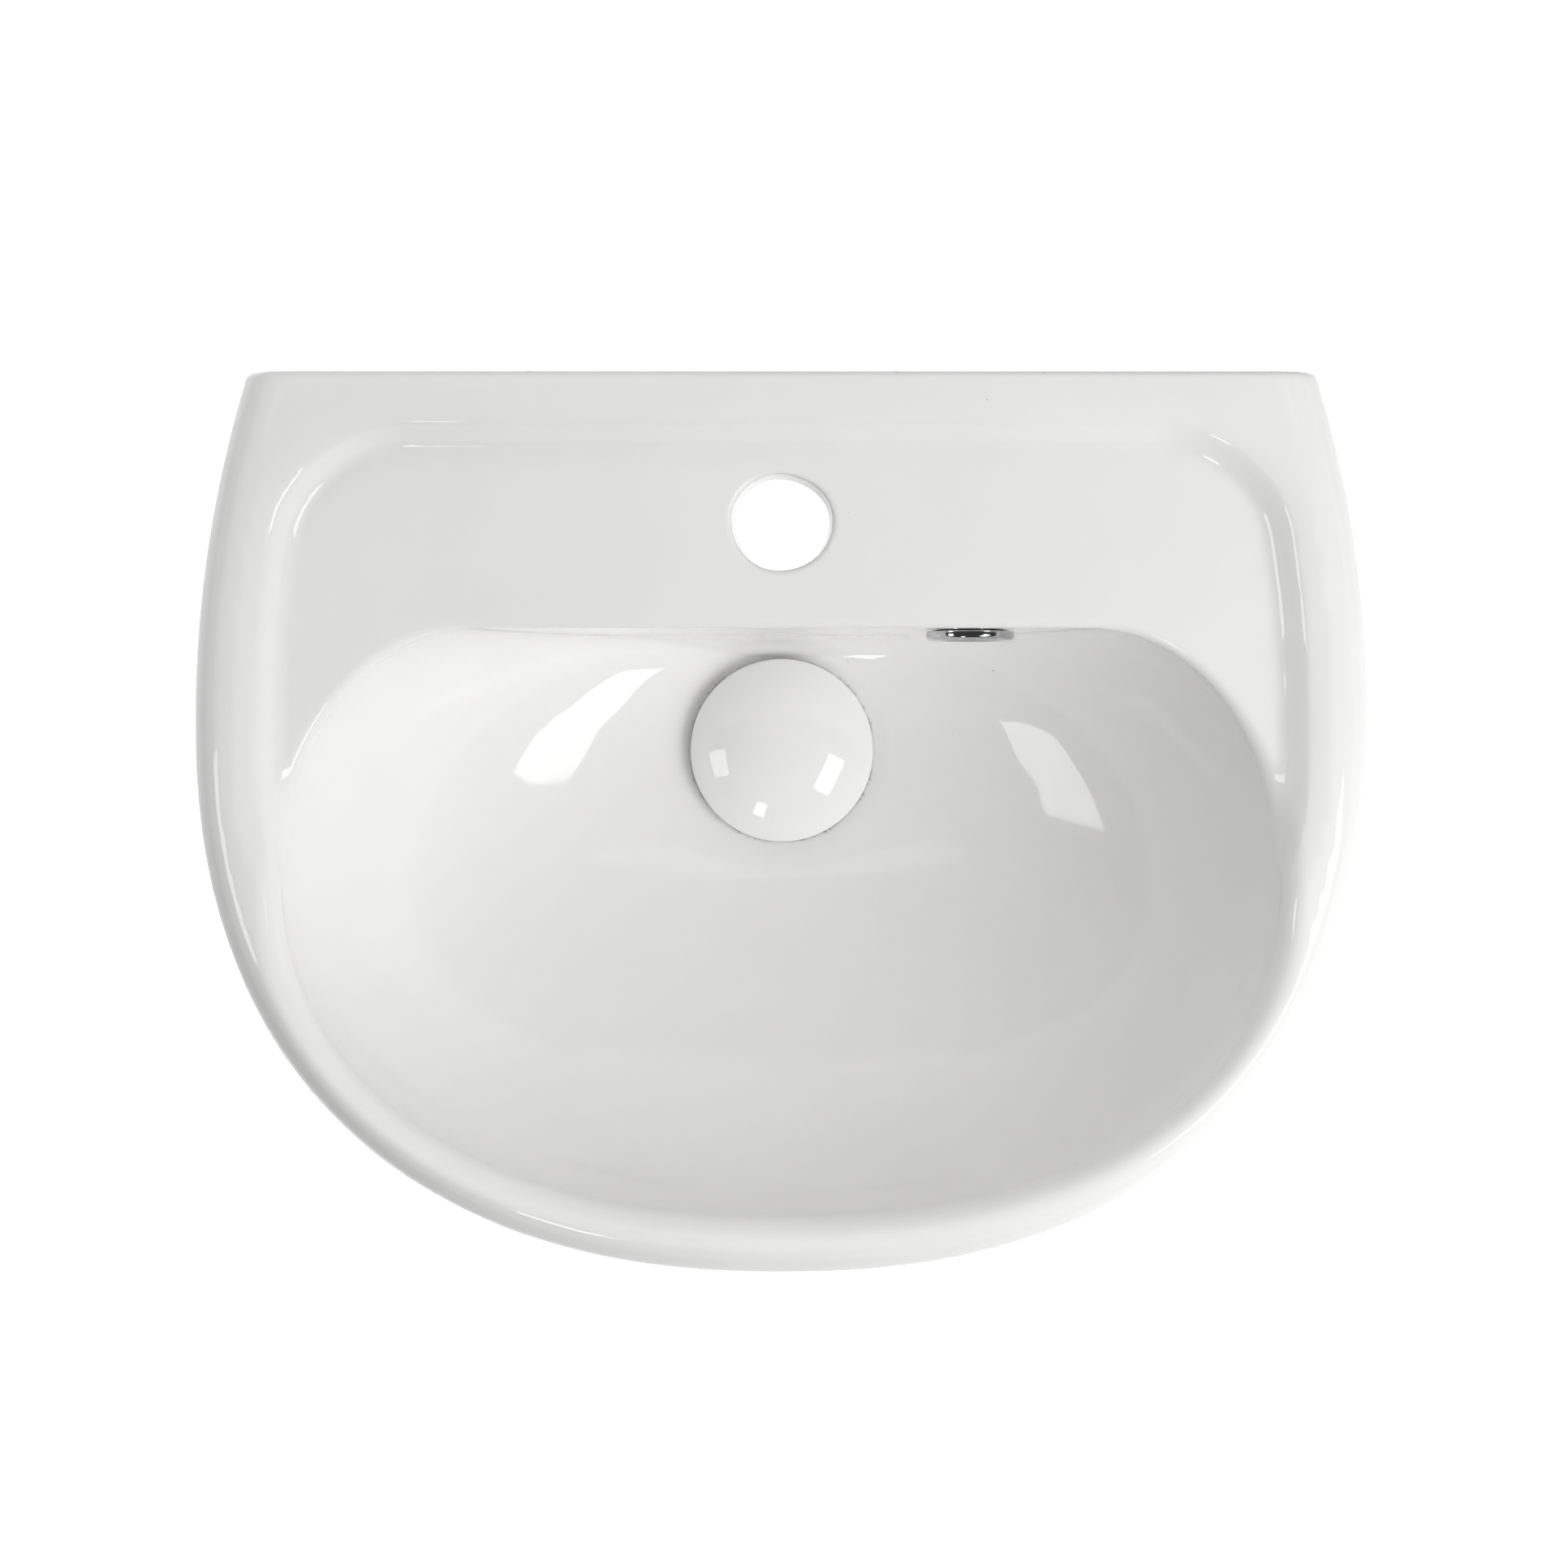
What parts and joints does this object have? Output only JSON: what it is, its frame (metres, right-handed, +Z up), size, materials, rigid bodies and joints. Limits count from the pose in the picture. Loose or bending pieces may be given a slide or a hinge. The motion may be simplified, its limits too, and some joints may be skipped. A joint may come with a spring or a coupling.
{
  "type": "wall-hung hand basin",
  "caption": "Small wall-hung vitreous china hand basin with a sunk tap deck, a rear overflow ring and a click waste whose domed ceramic cap lifts to drain.",
  "frame": {"origin": "on the wall face, midway between the two fixing bolt holes", "axes": "+X to the right as seen by a person at the basin, +Y into the wall, +Z up"},
  "size_m": [0.405, 0.31, 0.194],
  "materials": {
    "vitreous_china": "white high-gloss glaze, bare biscuit on the wall face",
    "cap_china": "white high-gloss glaze",
    "chrome_trim": "polished chrome plate",
    "chrome_waste": "cast brass, chrome plated, polished on the flange",
    "bare_brass": "turned brass",
    "stainless": "turned stainless steel",
    "black_rubber": "moulded rubber",
    "pale_nylon": "moulded nylon",
    "white_acetal": "moulded acetal"
  },
  "bodies": {
    "basin": {"basin_body": "vitreous_china", "overflow_ring": "chrome_trim", "waste_body": "chrome_waste", "flange_gasket": "black_rubber", "cone_gasket": "black_rubber", "slip_washer": "pale_nylon", "lock_nut": "bare_brass", "click_spring": "stainless", "cartridge_barrel": "bare_brass", "barrel_washer": "pale_nylon", "cartridge_end_cap": "white_acetal"},
    "plug": {"ceramic_cap": "cap_china", "cap_plate": "bare_brass", "cap_seal": "black_rubber", "cap_stud": "stainless", "cap_locknut": "stainless", "click_plunger": "bare_brass", "plunger_ring": "black_rubber"},
    "rotor": {"click_rotor": "white_acetal"}
  },
  "joints": [
    {"name": "cap_lift", "type": "slide", "parent": "basin", "child": "plug", "axis": [0, 0, 1], "range_m": [0, 0.008], "deforming": ["click_spring"]},
    {"name": "rotor_index", "type": "hinge", "parent": "plug", "child": "rotor", "pos_m": [0, -0.129, -0.096], "axis": [0, 0, 1], "range_deg": [0, 45]}
  ],
  "couplings": [
    {"joint": "rotor_index", "follows": "cap_lift", "rad_per_m": 98.17}
  ]
}
